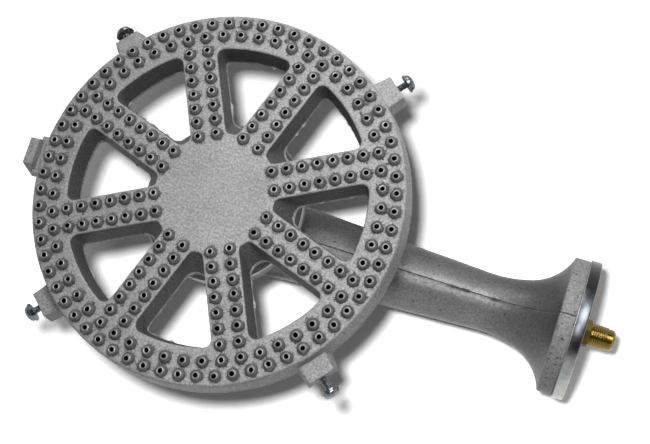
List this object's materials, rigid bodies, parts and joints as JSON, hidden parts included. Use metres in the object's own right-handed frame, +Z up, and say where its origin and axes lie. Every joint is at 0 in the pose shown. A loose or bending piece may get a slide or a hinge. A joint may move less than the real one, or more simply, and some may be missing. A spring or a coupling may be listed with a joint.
{
  "type": "gas burner",
  "caption": "Round spoked cast iron gas burner head with raised drilled ports, on a venturi tube with an air shutter and a brass flare inlet.",
  "frame": {"origin": "on the head's axis, in the plane of the lugs' undersides", "axes": "+Z up along the head's axis, +X along the venturi towards the gas inlet"},
  "size_m": [0.4136, 0.2572, 0.146],
  "materials": {
    "head_iron": "blasted casting",
    "venturi_iron": "blasted casting",
    "gasket": "black gasket sheet",
    "zinc": "bright zinc plate",
    "bolt_steel": "plain steel",
    "brass": "turned"
  },
  "bodies": {
    "burner": {"burner_head": "head_iron", "hub_gasket": "gasket", "venturi": "venturi_iron", "flange_bolt_1": "bolt_steel", "flange_bolt_2": "bolt_steel", "flange_bolt_3": "bolt_steel", "flange_bolt_4": "bolt_steel", "flange_lock_washer_1": "bolt_steel", "flange_lock_washer_2": "bolt_steel", "flange_lock_washer_3": "bolt_steel", "flange_lock_washer_4": "bolt_steel", "gas_inlet_fitting": "brass", "orifice_jet": "brass", "shutter_spring_washer": "bolt_steel"},
    "air_shutter": {"air_shutter": "zinc"},
    "lug_washer_1": {"lug_washer_1": "zinc"},
    "lug_screw_1": {"lug_screw_1": "zinc"},
    "lug_washer_2": {"lug_washer_2": "zinc"},
    "lug_screw_2": {"lug_screw_2": "zinc"},
    "lug_washer_3": {"lug_washer_3": "zinc"},
    "lug_screw_3": {"lug_screw_3": "zinc"},
    "lug_washer_4": {"lug_washer_4": "zinc"},
    "lug_screw_4": {"lug_screw_4": "zinc"}
  },
  "joints": [
    {"name": "shutter_turn", "type": "hinge", "parent": "burner", "child": "air_shutter", "pos_m": [0.25, 0, -0.0736], "axis": [1, 0, 0], "range_deg": [0, 45]},
    {"name": "lug_washer_1_slide", "type": "slide", "parent": "burner", "child": "lug_washer_1", "axis": [0.6494, 0.7604, 0], "range_m": [-0.0068, 0.0028]},
    {"name": "lug_screw_1_turn", "type": "hinge", "parent": "lug_washer_1", "child": "lug_screw_1", "pos_m": [0.09066, 0.10615, 0.0055], "axis": [0.6494, 0.7604, 0], "range_deg": [-2314, 953]},
    {"name": "lug_washer_2_slide", "type": "slide", "parent": "burner", "child": "lug_washer_2", "axis": [-0.7604, 0.6494, 0], "range_m": [-0.0048, 0.0048]},
    {"name": "lug_screw_2_turn", "type": "hinge", "parent": "lug_washer_2", "child": "lug_screw_2", "pos_m": [-0.10615, 0.09066, 0.0055], "axis": [-0.7604, 0.6494, 0], "range_deg": [-1633, 1633]},
    {"name": "lug_washer_3_slide", "type": "slide", "parent": "burner", "child": "lug_washer_3", "axis": [-0.6494, -0.7604, 0], "range_m": [-0.0062, 0.0034]},
    {"name": "lug_screw_3_turn", "type": "hinge", "parent": "lug_washer_3", "child": "lug_screw_3", "pos_m": [-0.09066, -0.10615, 0.0055], "axis": [-0.6494, -0.7604, 0], "range_deg": [-2109, 1157]},
    {"name": "lug_washer_4_slide", "type": "slide", "parent": "burner", "child": "lug_washer_4", "axis": [0.7604, -0.6494, 0], "range_m": [-0.0088, 0.0008]},
    {"name": "lug_screw_4_turn", "type": "hinge", "parent": "lug_washer_4", "child": "lug_screw_4", "pos_m": [0.10615, -0.09066, 0.0055], "axis": [0.7604, -0.6494, 0], "range_deg": [-2994, 273]}
  ],
  "couplings": [
    {"joint": "lug_screw_1_turn", "follows": "lug_washer_1_slide", "rad_per_m": 5936.9},
    {"joint": "lug_screw_2_turn", "follows": "lug_washer_2_slide", "rad_per_m": 5936.9},
    {"joint": "lug_screw_3_turn", "follows": "lug_washer_3_slide", "rad_per_m": 5936.9},
    {"joint": "lug_screw_4_turn", "follows": "lug_washer_4_slide", "rad_per_m": 5936.9}
  ]
}
